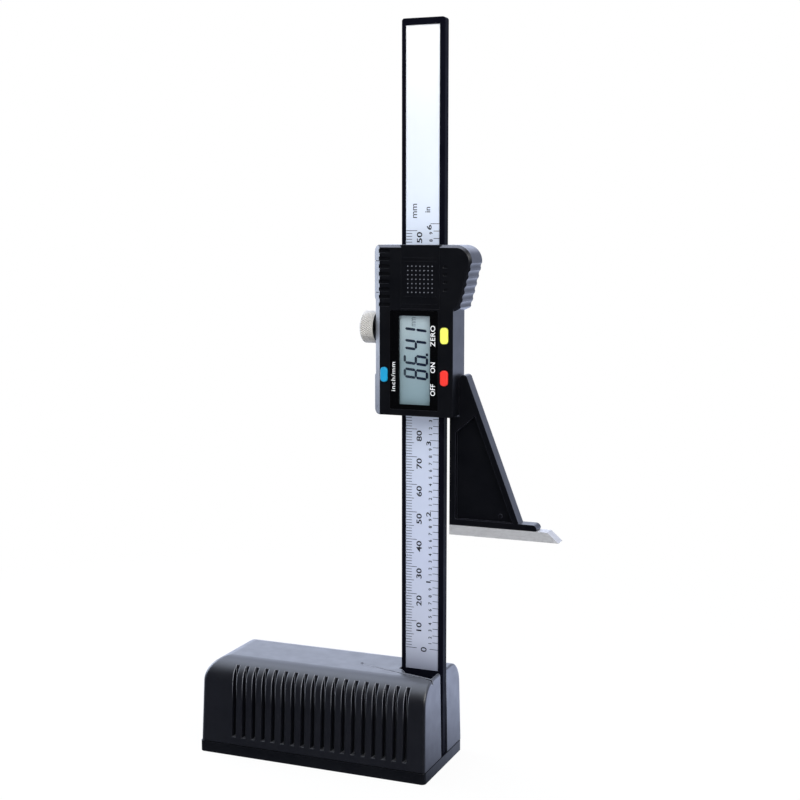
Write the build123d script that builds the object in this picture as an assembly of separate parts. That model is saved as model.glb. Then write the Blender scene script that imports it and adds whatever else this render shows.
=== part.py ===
from build123d import *
import os
from math import atan2, cos, degrees, hypot, radians, sin, tan

# Digital height gauge, 0 to 150 mm: a weighted base, a flat column with a printed scale,
# and a reading head that slides on the column and carries a measuring arm with a steel blade.
#
# Frame, in millimetres: the origin is the middle of the base's underside. +Z runs up along the
# column, +X runs along the base towards the blade, and -Y faces the reader.
# The column's front face lies at Y = 0. The head stands where the display reads 86.41.

os.makedirs("parts", exist_ok=True)

# ---- driving dimensions: base ---------------------------------------------------------------
base_length = 90.0
base_depth = 38.2
plate_thickness = 4.0
plate_corner = 1.6          # radius of the plate's upright corners
plate_edge = 0.12           # broken edge round the plate's underside
base_height = 35.4
cover_inset = 0.1           # the cover's foot stands this far inside the plate's edge
end_draft = 1.0             # degrees, on the two ends of the cover
front_draft = 3.3           # degrees, on the front of the cover
back_draft = 1.5            # degrees, on the back of the cover
shoulder_radius = 9.0       # rounds the cover's top along the front, back and left end
top_trim = 0.03             # the flat top is cut this far below the shoulders' crests
corner_radius = 2.2         # the cover's two upright corners at the left end
slot_end_round = 0.8        # edge of the end face that the column's slot opens through
cover_wall = 2.2
cover_front_wall = 4.8      # thicker than the rest, to hold the finger grooves
groove_count = 18
groove_pitch = 4.0
groove_width = 1.6
groove_depth = 2.8
groove_foot = 3.1           # plain band left under the grooves
groove_offset = 3.2         # middle of the row of grooves, right of the base's middle
slot_front_gap = 2.2        # room in front of the column for its screw heads
slot_gap = 0.1
seam_width = 0.25
seam_depth = 0.35
gate_mark_x = 14.6          # the mould's gate mark on the cover's top
gate_mark_y = -2.55
gate_pip_radius = 0.7
gate_pip_height = 0.3
slit_start = 0.3            # the slit widens from its gate mark...
slit_end = 1.0              # ...to the end of the base
slit_depth = 0.6
slit_fall = 1.2             # extra depth at the end, as the shoulder falls away
pocket_depth = 3.4          # sunken pocket in front of the column
pocket_lead = 3.9           # its left end slants by this much
pocket_reach = 6.0          # from the column's face to its front edge, at the left
pocket_end_wall = 1.6
roof_drop = 2.4             # the cover's roof over the ballast is thicker by this much
lobby_drop = 3.4            # and thicker still in front of the column's slot
ballast_headroom = 1.8      # from the ballast to the roof
ballast_gap = 0.4
front_screw_in = 22.0       # third cover screw, left of the column

# ---- driving dimensions: screws -------------------------------------------------------------
cover_screw_radius = 1.4
cover_screw_length = 9.0
cover_screw_head = 2.8
ballast_screw_radius = 2.0
ballast_screw_length = 10.0
ballast_screw_head = 3.9
column_screw_radius = 1.5
column_screw_length = 9.0
column_screw_head = 2.7
column_screw_head_height = 1.9
case_screw_radius = 0.8
case_screw_length = 8.5
case_screw_head = 1.6
plate_screw_radius = 0.9
plate_screw_length = 4.6
plate_screw_head = 1.7

# ---- driving dimensions: column and scale ---------------------------------------------------
column_width = 16.0
column_thickness = 4.0
column_top = 265.7
column_corner = 1.0
column_edge = 0.3
column_end_gap = 0.5        # from the column's edge to the end of the base
scale_recess = 1.1
scale_width = 12.5
scale_shift = 0.15          # the scale sits this far left of the column's middle
scale_recess_top = 2.4      # margin left above the label
encoder_thickness = 0.6
encoder_width = 11.4
label_thickness = 0.2
scale_zero = 43.14          # height of the scale's 0 line
reading = 86.41             # height shown at rest
reading_max = 150.0

# ---- driving dimensions: reading head -------------------------------------------------------
head_left_reach = 16.3      # from the column's middle plane to the head's left side
head_right_reach = 14.1
head_under = 0.7            # the head's bottom edge, under the line that reads the scale
head_height = 59.45
head_front_reach = 7.6      # front face, ahead of the column's front face
head_parting = 0.4          # plane where the front cover meets the slider, ahead of the column
rear_gap = 0.1              # behind the column
side_gap = 0.08             # each side of the column
back_plate_thickness = 1.4
back_plate_inset = 0.5
left_chamfer = 3.1
top_chamfer = 2.1
top_corner = 2.8            # upper left corner
bottom_corner = 2.0
side_edge_round = 0.4
wing_height = 22.7          # the thumb wing starts this far under the head's top
wing_reach = 8.1
wing_radius = 5.6
wing_shelf = 2.4            # it juts out by this much at its foot...
wing_shelf_rise = 1.1       # ...while rising by this much
wing_shelf_round = 1.3
wing_edge = 0.9
wave_count = 6              # shallow waves down the wing's sloping side
wave_top = 7.0              # first one, under the head's top
wave_depth = 0.3
wave_radius = 1.8
grip_count = 8
grip_pitch = 2.65
grip_width = 1.3
grip_depth = 0.6
strip_line_high = 5.6       # two fine lines across the left strip, down from the top
strip_line_low = 16.6
grip_length = 4.4
grip_top = 2.15             # first grip groove, under the head's top
mark_length = 1.7           # short marks right of the battery cover
mark_width = 0.9
mark_first = 2              # they stand level with the third to sixth grooves
mark_count = 4
mark_gap = 1.35             # from the battery cover's edge
knob_recess = 0.6
knob_recess_above = 10.3    # over the lock screw
knob_recess_below = 15.9
cover_face_wall = 1.6
cover_side_wall = 1.5
bay_divider = 0.5

# ---- driving dimensions: display ------------------------------------------------------------
window_width = 17.8
window_height = 34.6
window_thickness = 1.0
window_sink = 0.05          # below the head's front face
window_left = 7.0           # from the head's left side
window_bottom = 2.2         # above the head's bottom edge
window_corner = 0.5
lcd_view_width = 11.6
lcd_view_height = 31.2
lcd_border = 1.2
lcd_thickness = 1.65
lcd_frame_wall = 1.1
board_thickness = 0.8
chip_size = 6.0
chip_thickness = 1.0
contact_strip_width = 1.8

# ---- driving dimensions: buttons ------------------------------------------------------------
zero_button_width = 2.9
power_button_width = 2.9
unit_button_width = 2.7
zero_button_length = 5.7
power_button_length = 5.4
unit_button_length = 5.2
button_proud = 0.55
button_dome = 0.45          # rounds the edge of each button's face
button_travel = 0.5
button_gap = 0.1
button_corner = 1.2
button_flange = 0.5
button_flange_thickness = 0.5
zero_button_height = 28.35  # button middles, above the head's bottom edge
power_button_height = 13.7
unit_button_height = 14.25
right_buttons_in = 3.2      # from the head's right side
unit_button_in = 4.75       # from the head's left side
dome_radius = 1.1

# ---- driving dimensions: battery ------------------------------------------------------------
battery_radius = 5.8
battery_thickness = 5.4
battery_x = 18.26           # middle, from the head's left side
battery_drop = 11.7         # middle, under the head's top
battery_side_gap = 0.2
contact_thickness = 0.2
battery_cover_width = 14.1
battery_cover_length = 21.95
battery_cover_thickness = 1.0
battery_cover_tongue = 0.5
battery_cover_travel = 20.0
slide_gap = 0.05
dot_count = 7
dot_pitch = 1.5
dot_radius = 0.3
dot_height = 0.22
ridge_places = [0.207, 0.267, 0.818, 0.936]   # down the battery cover, as shares of its length
ridge_height = 0.2

# ---- driving dimensions: lock screw ---------------------------------------------------------
knob_radius = 5.8
knob_length = 5.0
knob_gap = 1.3              # from the head's side to the knob
knob_teeth = 48
knob_tooth_depth = 0.25
lock_height = 30.1          # above the head's bottom edge
thread_radius = 1.45
thread_gap = 0.05
insert_radius = 2.1
insert_length = 4.6
pad_radius = 1.45
pad_length = 2.6
pad_gap = 0.32              # from the pad to the column's edge, at rest
lock_travel = 0.3

# ---- driving dimensions: measuring arm and blade --------------------------------------------
arm_left_gap = 2.7          # from the column's edge to the arm's straight edge
arm_front = 1.2             # the arm's front face, ahead of the column's front face
arm_depth = 5.2
arm_web = 1.6
arm_rim = 2.2
arm_flange = 2.05
arm_tip_reach = 34.3        # right end of the arm's foot, from the base's end plane
arm_top_height = 58.0       # from the blade's underside to the top of the sloping flange
arm_top_out = 2.2           # top of the sloping flange, outside the head's side
arm_mark_out = 20.6         # moulding mark on the web, right of the base's end
gusset_over = 14.0          # the gusset's blank, above, below and beside the head's lower right edge
gusset_under = 8.0
gusset_out = 6.0
arm_slope_foot = 6.5        # foot left beyond the sloping flange
blade_length = 39.9
blade_height = 3.5
blade_bevel = 4.0
tongue_thickness = 1.6
tongue_height = 1.3
tongue_length = 28.0
arm_root_height = 7.8
arm_root_length = 4.2
arm_root_thickness = 3.8

# ---- places worked out from the dimensions above --------------------------------------------
base_end = base_length / 2
column_right = base_end - column_end_gap
column_left = column_right - column_width
column_x = (column_left + column_right) / 2
column_back = column_thickness

head_bottom = scale_zero + reading - head_under
head_top = head_bottom + head_height
wing_z0 = head_top - wing_height
head_left = column_x - head_left_reach
head_right = column_x + head_right_reach
head_front = -head_front_reach
parting = -head_parting
slider_back = column_back + rear_gap
head_back = slider_back + back_plate_thickness

arm_left = column_right + arm_left_gap
arm_y0 = -arm_front
arm_y1 = arm_y0 + arm_depth
arm_foot = reading + blade_height
web_y0 = (arm_y0 + arm_y1) / 2 - arm_web / 2
web_y1 = web_y0 + arm_web

window_x0 = head_left + window_left
window_x1 = window_x0 + window_width
window_z0 = head_bottom + window_bottom
window_z1 = window_z0 + window_height
window_front = head_front + window_sink
window_back = window_front + window_thickness
lcd_x = (window_x0 + window_x1) / 2 + 0.6
lcd_z = (window_z0 + window_z1) / 2
bay_front = head_front + cover_face_wall
bay_z0 = head_bottom + 1.5
bay_z1 = window_z1 + 0.3
bay_x0 = head_left + cover_side_wall
bay_x1 = head_right - cover_side_wall
lcd_front = bay_front + slide_gap
lcd_back = lcd_front + lcd_thickness
board_front = parting - board_thickness

zero_button_at = (head_right - right_buttons_in, head_bottom + zero_button_height)
power_button_at = (head_right - right_buttons_in, head_bottom + power_button_height)
unit_button_at = (head_left + unit_button_in, head_bottom + unit_button_height)

battery_at = (head_left + battery_x, head_top - battery_drop)
battery_cover_back = head_front + battery_cover_thickness
battery_front = battery_cover_back + slide_gap
battery_back = battery_front + battery_thickness
battery_floor = battery_back + contact_thickness
battery_cover_z0 = head_top - battery_cover_length

lock_z = head_bottom + lock_height
lock_y = (parting + slider_back) / 2
knob_side = head_left + knob_recess
pad_x1 = column_left - pad_gap
pad_x0 = pad_x1 - pad_length
knob_x1 = head_left - knob_gap
knob_x0 = knob_x1 - knob_length


# ---- building blocks ------------------------------------------------------------------------
def block(x0, x1, y0, y1, z0, z1):
    """Box between two corners."""
    return Pos((x0 + x1) / 2, (y0 + y1) / 2, (z0 + z1) / 2) * Box(x1 - x0, y1 - y0, z1 - z0)


def rod_x(radius, x0, x1, y, z):
    return Pos((x0 + x1) / 2, y, z) * Rot(0, 90, 0) * Cylinder(radius, x1 - x0)


def rod_y(radius, y0, y1, x, z):
    return Pos(x, (y0 + y1) / 2, z) * Rot(90, 0, 0) * Cylinder(radius, y1 - y0)


def rod_z(radius, z0, z1, x, y):
    return Pos(x, y, (z0 + z1) / 2) * Cylinder(radius, z1 - z0)


def corner_near(shape, spot):
    """The corner of a flat shape that lies nearest to a spot."""
    return shape.vertices().sort_by_distance(Vector(*spot, 0))[0]


def rounded(face, corners):
    """Round some corners of a flat shape: a list of ((x, y), radius)."""
    for spot, radius in corners:
        face = fillet(corner_near(face, spot), radius)
    return face


def prism_x(face, x0, x1):
    """Push a flat (Y, Z) shape along X."""
    return extrude(Plane((x0, 0, 0), x_dir=(0, 1, 0), z_dir=(1, 0, 0)) * face, x1 - x0)


def prism_y(face, y0, y1):
    """Push a flat (X, Z) shape along Y."""
    return extrude(Plane((0, y1, 0), x_dir=(1, 0, 0), z_dir=(0, -1, 0)) * face, y1 - y0)


def prism_z(face, z0, z1):
    """Push a flat (X, Y) shape along Z."""
    return extrude(Pos(0, 0, z0) * face, z1 - z0)


def outline(*points):
    return Polygon(*points, align=None)


class Screw:
    """A screw whose head top is at z = 0 and whose shank points down. It makes its own hole."""

    def __init__(self, radius, length, head_radius, head_height, countersunk=True):
        self.radius = radius
        self.length = length
        self.head_radius = head_radius
        self.head_height = head_height
        self.countersunk = countersunk

    def head(self, gap=0.0):
        height = self.head_height + gap
        wide = self.head_radius + gap
        if self.countersunk:
            return Pos(0, 0, -height / 2) * Cone(self.radius + gap, wide, height)
        return Pos(0, 0, -self.head_height / 2) * Cylinder(wide, self.head_height + 2 * gap)

    def solid(self):
        body = self.head() + rod_z(self.radius, -self.length, -self.head_height / 2, 0, 0)
        bar = self.head_radius * 1.1
        slot = self.head_radius * 0.26
        for turn in (0, 90):
            body -= Rot(0, 0, turn) * Box(bar, slot, self.head_height)
        return body

    def hole(self, gap=0.03, past=0.0):
        shank = rod_z(self.radius + gap, -self.length - gap - past, 0, 0, 0)
        return self.head(gap) + shank


def placed(shape, at, out):
    """Put a piece's z = 0 at a point with its +Z pointing out of the work."""
    return Plane(origin=at, z_dir=out) * shape


def countersunk_screw(radius, length, head_radius):
    """Its head is as deep as a 90 degree cone and a thin rim make it."""
    return Screw(radius, length, head_radius, head_radius - radius + 0.1 * head_radius)


cover_screw = countersunk_screw(cover_screw_radius, cover_screw_length, cover_screw_head)
ballast_screw = countersunk_screw(ballast_screw_radius, ballast_screw_length, ballast_screw_head)
column_screw = Screw(column_screw_radius, column_screw_length, column_screw_head, column_screw_head_height,
                     countersunk=False)
case_screw = countersunk_screw(case_screw_radius, case_screw_length, case_screw_head)
plate_screw = countersunk_screw(plate_screw_radius, plate_screw_length, plate_screw_head)

slit_from = Vector(gate_mark_x, gate_mark_y)
slit_to = Vector(base_end + 1, slit_from.Y - 8.1)
boss_radius = 3.0
cover_screw_spots = [
    (-base_end + 6.6, -9.2),
    (-base_end + 6.6, 9.6),
    (column_left - front_screw_in, -9.2),
    (column_right - 4.4, 10.0),
]
ballast_screw_spots = [(-16.0, 0.8), (4.0, 0.8)]
column_screw_heights = [12.0, 24.0]
ballast_x0 = -base_end + 11.0
ballast_x1 = column_left - 4.6
ballast_y0 = -base_depth / 2 + cover_front_wall + 2.0
ballast_y1 = base_depth / 2 - cover_wall - 2.6
ballast_z1 = base_height - cover_wall - roof_drop - ballast_headroom
ballast_lug_x1 = column_right - 8.6

case_screw_spots = [
    (head_left + 3.4, head_bottom + 2.9),
    (head_right - 3.0, head_bottom + 2.9),
    (head_left + 4.8, head_top - 4.0),
    (head_right - 2.2, head_top - 4.0),
]
back_screw_left = 4.2
back_screw_right = 2.7
back_screw_rise = 19.0
back_screw_drop = 11.4
back_screw_spots = [
    (head_left + back_screw_left, head_bottom + back_screw_rise),
    (head_right - back_screw_right, head_bottom + back_screw_rise),
    (head_left + back_screw_left, head_top - back_screw_drop),
    (head_right - back_screw_right, head_top - back_screw_drop),
]
arm_root_z0 = head_bottom + 6.2
arm_root_z1 = arm_root_z0 + arm_root_height
arm_root_x0 = head_right - arm_root_length
arm_screw_spots = [
    (arm_root_x0 + arm_root_length / 2, arm_root_z0 + 1.75),
    (arm_root_x0 + arm_root_length / 2, arm_root_z1 - 1.75),
]


# ---- base -----------------------------------------------------------------------------------
def base_plate():
    plate = block(-base_end, base_end, -base_depth / 2, base_depth / 2, 0, plate_thickness)
    plate = fillet(plate.edges().filter_by(Axis.Z), plate_corner)
    plate = chamfer(plate.faces().sort_by(Axis.Z)[0].outer_wire().edges(), plate_edge)
    for x, y in cover_screw_spots:
        plate -= placed(cover_screw.hole(past=plate_thickness), (x, y, 0), (0, 0, -1))
    for x, y in ballast_screw_spots:
        plate -= placed(ballast_screw.hole(past=plate_thickness), (x, y, 0), (0, 0, -1))
    return plate


def cover_block():
    """The cover's outer form: a drafted block, well rounded on top except at the slot end."""
    rise = base_height - plate_thickness
    long_side = base_length - 2 * cover_inset
    deep_side = base_depth - 2 * cover_inset
    front_in = rise * tan(radians(front_draft))
    back_in = rise * tan(radians(back_draft))
    short = 2 * rise * tan(radians(end_draft))
    spare = shoulder_radius * 2
    # the block runs on past the slot end, so that the shoulders reach that end unbroken
    foot = Pos(spare / 2, 0, plate_thickness) * Rectangle(long_side + spare, deep_side)
    crown = Pos(spare / 2 + short / 4, (front_in - back_in) / 2, base_height + top_trim) * Rectangle(
        long_side + spare - short / 2, deep_side - front_in - back_in
    )
    body = loft([foot, crown])
    top = body.faces().sort_by(Axis.Z)[-1]
    body = fillet(top.edges(), shoulder_radius)
    left = [e for e in body.edges() if e.center().X < -base_end + 0.35 * shoulder_radius]
    upright = [e for e in left if (e @ 0).Z < plate_thickness + 1 and (e @ 1).Z > plate_thickness + 1
               or (e @ 1).Z < plate_thickness + 1 and (e @ 0).Z > plate_thickness + 1]
    body = fillet(upright, corner_radius)
    body -= block(-base_length, 2 * base_length, -base_depth, base_depth, base_height, base_height + 1)
    lean = tan(radians(end_draft)) * (rise + 2)
    end_x = base_end - cover_inset
    beyond = prism_y(
        outline(
            (end_x, plate_thickness),
            (end_x + base_length, plate_thickness - 1),
            (end_x + base_length, base_height + 2),
            (end_x - lean, base_height + 2),
        ),
        -base_depth,
        base_depth,
    )
    body -= beyond
    end_face = body.faces().sort_by(Axis.X)[-1]
    rim = [e for e in end_face.edges() if e.center().Z > plate_thickness + 0.5]
    return fillet(rim, slot_end_round)


def groove_cutters():
    foot_z = plate_thickness + groove_foot
    front = -base_depth / 2 + cover_inset
    lean = tan(radians(front_draft))
    low = front + (foot_z - plate_thickness) * lean + groove_depth
    high = front + (base_height + 2 - plate_thickness) * lean + groove_depth
    cuts = []
    for i in range(groove_count):
        x = groove_offset + (i - (groove_count - 1) / 2) * groove_pitch
        side = outline((front - 5, foot_z), (low, foot_z), (high, base_height + 2), (front - 5,
                base_height + 2))
        cuts.append(prism_x(side, x - groove_width / 2, x + groove_width / 2))
    return cuts


def slit_cutter():
    """Cutter for the slit that runs from the gate mark to the end of the base, ever wider."""
    run = (slit_to - slit_from).normalized()
    near = Vector(-run.Y, run.X) * (slit_start / 2)
    far = Vector(-run.Y, run.X) * (slit_end / 2)
    corners = [slit_from + near, slit_from - near, slit_to - far, slit_to + far]
    plan = outline(*[(c.X, c.Y) for c in corners])
    floor = outline(
        (slit_from.X - 1, base_height - slit_depth),
        (slit_to.X, base_height - slit_depth - slit_fall),
        (slit_to.X, base_height + 2),
        (slit_from.X - 1, base_height + 2),
    )
    return prism_z(plan, base_height - 5, base_height + 2) & prism_y(floor, -base_depth / 2, 5)


def pocket_cutter():
    """Cutter for the sunken pocket in front of the column. Its front edge follows the slit."""
    x0 = column_left - slot_gap
    x1 = base_end - pocket_end_wall
    slope = (slit_to.Y - slit_from.Y) / (slit_to.X - slit_from.X)
    front = -pocket_reach
    corner = x0 + pocket_lead
    plan = outline((x0, 0.5), (x0, -0.4), (corner, front), (x1, front + slope * (x1 - corner)), (x1, 0.5))
    return prism_z(plan, base_height - pocket_depth, base_height + 2)


def base_cover():
    body = cover_block()
    z0 = plate_thickness
    roof = base_height - cover_wall
    front_in = -base_depth / 2 + cover_front_wall + 1.4
    back_in = base_depth / 2 - cover_wall - 1.6
    left_in = -base_end + cover_wall + 1.6
    slot_x0 = column_left - slot_gap
    slot_y0 = -slot_front_gap
    slot_y1 = column_back
    # main room for the ballast, then the two rooms beside the column's slot
    body -= block(left_in, slot_x0 - cover_wall, front_in, back_in, z0, roof - roof_drop)
    body -= block(slot_x0 - cover_wall, base_end - 3.4, slot_y1, back_in, z0, roof - roof_drop)
    body -= block(slot_x0, base_end - 3.4, front_in, slot_y0 - cover_wall, z0, roof - lobby_drop)
    # the column's slot, open at the top and at the end of the base
    body -= block(slot_x0, base_end + 5, slot_y0, slot_y1, z0, base_height + 5)
    for cut in groove_cutters():
        body -= cut
    # a fine step along the foot makes the seam with the plate
    rim_outer = block(-base_end - 1, base_end + 1, -base_depth, base_depth, z0, z0 + seam_width)
    inset = cover_inset + seam_depth
    rim_inner = block(-base_end + inset, base_end - inset, -base_depth / 2 + inset,
                      base_depth / 2 - inset, z0, z0 + seam_width)
    body -= rim_outer - rim_inner
    for x, y in cover_screw_spots:
        body += rod_z(boss_radius, z0, base_height - 4.5, x, y)
        body -= rod_z(cover_screw.radius + 0.03, z0 - 1, z0 + 8.0, x, y)
    body -= slit_cutter()
    body -= pocket_cutter()
    pip = Pos(slit_from.X - 1.3, slit_from.Y + 1.4, base_height)
    dome = (gate_pip_radius ** 2 + gate_pip_height ** 2) / (2 * gate_pip_height)
    cap = Pos(0, 0, gate_pip_height - dome) * Sphere(dome)
    body += pip * (cap & Pos(0, 0, 0.25) * Box(4, 4, 1.0))
    return body


def ballast_block():
    y1 = ballast_y1
    block_main = block(ballast_x0, ballast_x1, ballast_y0, y1, plate_thickness, ballast_z1)
    lug = block(ballast_x1, ballast_lug_x1, column_back, y1, plate_thickness, ballast_z1)
    body = block_main + lug
    body = chamfer(body.faces().sort_by(Axis.Z)[-1].edges(), 0.8)
    for x, y in cover_screw_spots:
        body -= rod_z(boss_radius + ballast_gap, plate_thickness - 1, base_height, x, y)
    for x, y in ballast_screw_spots:
        body -= placed(ballast_screw.hole(past=2.0), (x, y, 0), (0, 0, -1))
    for z in column_screw_heights:
        body -= placed(column_screw.hole(past=1.0), (column_x, -column_screw.head_height, z), (0, -1, 0))
    return body


def base_screws(spots, screw):
    return [placed(screw.solid(), (x, y, 0), (0, 0, -1)) for x, y in spots]


def column_screws():
    sink = column_screw.head_height
    return [placed(column_screw.solid(), (column_x, -sink, z), (0, -1, 0)) for z in column_screw_heights]


# ---- column and scale -----------------------------------------------------------------------
def scale_area(width, y0, y1, margin=0.0):
    z0 = base_height + margin
    z1 = column_top - scale_recess_top - margin
    x = column_x - scale_shift
    return block(x - width / 2, x + width / 2, y0, y1, z0, z1)


def column():
    bar = block(column_left, column_right, 0, column_back, plate_thickness, column_top)
    tops = [e for e in bar.edges().filter_by(Axis.Y) if e.center().Z > column_top - 1]
    bar = fillet(tops, column_corner)
    bar = chamfer(bar.edges().filter_by(Axis.Z), column_edge)
    bar -= scale_area(scale_width + 0.1, -1, scale_recess)
    for z in column_screw_heights:
        bar -= rod_y(column_screw.radius + 0.03, -1, column_back + 1, column_x, z)
    return bar


def encoder_strip():
    return scale_area(encoder_width, scale_recess - encoder_thickness, scale_recess, 1.5)


def scale_label():
    back = scale_recess - encoder_thickness
    return scale_area(scale_width, back - label_thickness, back)


# ---- reading head: shells -------------------------------------------------------------------
def head_outline():
    """Front view of the head, in X and Z: a tall block with the thumb wing at upper right."""
    face = outline(
        (head_left, head_bottom),
        (head_right, head_bottom),
        (head_right, wing_z0),
        (head_right + wing_shelf, wing_z0 + wing_shelf_rise),
        (head_right + wing_reach, head_top),
        (head_left, head_top),
    )
    return rounded(face, [
        ((head_left, head_bottom), bottom_corner),
        ((head_right, head_bottom), 0.8),
        ((head_right + wing_shelf, wing_z0 + wing_shelf_rise), wing_shelf_round),
        ((head_right + wing_reach, head_top), wing_radius),
    ])


def top_corner_cut():
    """Off-cut that rounds the head's upper left corner."""
    x = head_left + top_corner
    z = head_top - top_corner
    y0 = head_front - 1
    y1 = head_back + 1
    return block(head_left - 1, x, y0, y1, z, head_top + 1) - rod_y(top_corner, y0 - 1, y1 + 1, x, z)


def knob_recess_cut():
    z0 = lock_z - knob_recess_below
    z1 = lock_z + knob_recess_above
    side = outline((head_left - 1, z0 - 1.6), (head_left + knob_recess, z0),
                   (head_left + knob_recess, z1), (head_left - 1, z1 + 1.6))
    return prism_y(side, head_front - 1, head_back + 1)


def wing_side_x(z):
    """Where the wing's sloping side stands at a height."""
    low = wing_z0 + wing_shelf_rise
    return head_right + wing_shelf + (wing_reach - wing_shelf) * (z - low) / (head_top - low)


def wing_cuts(y0, y1):
    """Shallow waves that run front to back across the wing's sloping side."""
    slope = Vector(wing_reach - wing_shelf, head_top - wing_z0 - wing_shelf_rise).normalized()
    out = wave_radius - wave_depth
    cuts = []
    for i in range(wave_count):
        z = head_top - wave_top - i * grip_pitch
        cuts.append(rod_y(wave_radius, y0 - 1, y1 + 1, wing_side_x(z) + out * slope.Y, z - out * slope.X))
    return cuts


def grip_slots():
    """The short finger slots down the left of the front face."""
    left_end = head_left + left_chamfer - 0.4
    return [(left_end, left_end + grip_length,
             head_top - grip_top - i * grip_pitch) for i in range(grip_count)]


def grip_marks():
    """Short marks between the battery cover and the wing."""
    x = battery_at[0] + battery_cover_width / 2 + mark_gap
    half = mark_width / 2
    y0 = head_front - 1
    y1 = head_front + grip_depth / 2
    marks = []
    for i in range(mark_first, mark_first + mark_count):
        z = head_top - grip_top - i * grip_pitch
        marks.append(rounded_plate(x, x + mark_length, z - half, z + half, y0, y1, half * 0.95))
    return marks


def slot_cut(x0, x1, z):
    y0 = head_front - 1
    y1 = head_front + grip_depth
    half = grip_width / 2
    return block(x0, x1 - half, y0, y1, z - half, z + half) + rod_y(half, y0, y1, x1 - half, z)


def rounded_plate(x0, x1, z0, z1, y0, y1, radius):
    middle = ((x0 + x1) / 2, (z0 + z1) / 2)
    return prism_y(Pos(*middle) * RectangleRounded(x1 - x0, z1 - z0, radius), y0, y1)


def button_shape(at, width, height, y0, y1, gap=0.0):
    x, z = at
    return rounded_plate(x - width / 2 - gap, x + width / 2 + gap, z - height / 2 - gap,
                         z + height / 2 + gap, y0, y1, button_corner)


BUTTONS = [
    (zero_button_at, zero_button_width, zero_button_length),
    (power_button_at, power_button_width, power_button_length),
    (unit_button_at, unit_button_width, unit_button_length),
]


def top_wedge(y0):
    """Off-cut of the long chamfer along the head's top front edge."""
    side = outline((y0 - 1, head_top - top_chamfer - 1), (y0 - 1, head_top + 5),
                   (y0 + top_chamfer + 5, head_top + 5))
    return prism_x(side, head_left - 5, head_right + wing_reach + 5)


def battery_cover_room(gap):
    half = battery_cover_width / 2 + gap
    x = battery_at[0]
    z0 = battery_cover_z0 - gap
    plate = block(x - half, x + half, head_front, battery_cover_back + gap, z0, head_top)
    tongue = battery_cover_tongue
    rails = block(x - half - tongue, x + half + tongue, head_front + 0.45 - gap,
                  battery_cover_back + gap, z0, head_top)
    return plate + rails


def front_cover():
    body = prism_y(head_outline(), head_front, parting)
    wing_edges = [e for e in body.edges()
                  if abs(e.center().Y - head_front) < 0.01 and e.center().X > head_right + 0.2]
    body = chamfer(wing_edges, wing_edge)
    corner = outline((head_left - 1, head_front - 1), (head_left + left_chamfer + 1, head_front - 1),
                     (head_left - 1, head_front + left_chamfer + 1))
    body -= prism_z(corner, head_bottom - 1, head_top + 1)
    body -= top_wedge(head_front)
    body -= top_corner_cut()
    body -= knob_recess_cut()
    # display bay, open at the back
    slant = cover_face_wall + 1.1
    bay = outline((bay_x0, parting), (bay_x0, bay_front + slant - cover_side_wall + 1.2),
                  (bay_x0 + 2.4, bay_front), (bay_x1, bay_front), (bay_x1, parting))
    body -= prism_z(bay, bay_z0, bay_z1)
    # pockets that thin the upper corners
    body -= block(head_left + 2.2, battery_at[0] - battery_cover_width / 2 - 1.6, -4.0, parting,
                  bay_z1 + 1.4, head_top - 7.0)
    body -= block(battery_at[0] + battery_cover_width / 2 + 1.6, head_right + 0.2, -5.2, parting,
                  bay_z1 + 3.2, head_top - 7.0)
    for x, z in case_screw_spots:
        body += rod_y(1.75, bay_front - 0.2, parting, x, z)
        body -= rod_y(case_screw.radius + 0.02, parting - 4.6, parting + 1, x, z)
    # window seat and the opening behind it
    body -= rounded_plate(window_x0 - slide_gap, window_x1 + slide_gap, window_z0 - slide_gap,
                          window_z1 + slide_gap, head_front - 1, window_back, window_corner)
    half_w = lcd_view_width / 2 + 0.6
    half_h = lcd_view_height / 2 + 0.6
    body -= block(lcd_x - half_w, lcd_x + half_w, head_front - 1, bay_front + 1, lcd_z - half_h,
                  lcd_z + half_h)
    for at, width, height in BUTTONS:
        x, z = at
        body -= button_shape(at, width, height, head_front - 3, bay_front + 1, button_gap)
        reach = height / 2 + button_flange + button_gap
        body -= block(x - width / 2 - button_gap, x + width / 2 + button_gap, bay_front, -2.0,
                      z - reach, z + reach)
    # battery bay and its sliding cover's seat
    bx, bz = battery_at
    body -= rod_y(battery_radius + battery_side_gap, head_front - 1, battery_floor, bx, bz)
    body -= battery_cover_room(slide_gap)
    body -= contact_channels()
    for x0, x1, z in grip_slots():
        body -= slot_cut(x0, x1, z)
    for mark in grip_marks():
        body -= mark
    for cut in wing_cuts(head_front, parting):
        body -= cut
    for z in (head_top - strip_line_high, head_top - strip_line_low):
        body -= block(head_left - 1, head_left + left_chamfer - 0.2, head_front - 1, parting + 1,
                      z - 0.08, z + 0.08) - block(head_left + 0.25, head_right,
                                                  head_front + left_chamfer + 0.35,
                                                  parting + 2, z - 1, z + 1)
    return body


def arm_root():
    return block(arm_root_x0, head_right, web_y0 - 0.8, arm_y1, arm_root_z0, arm_root_z1)


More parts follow.
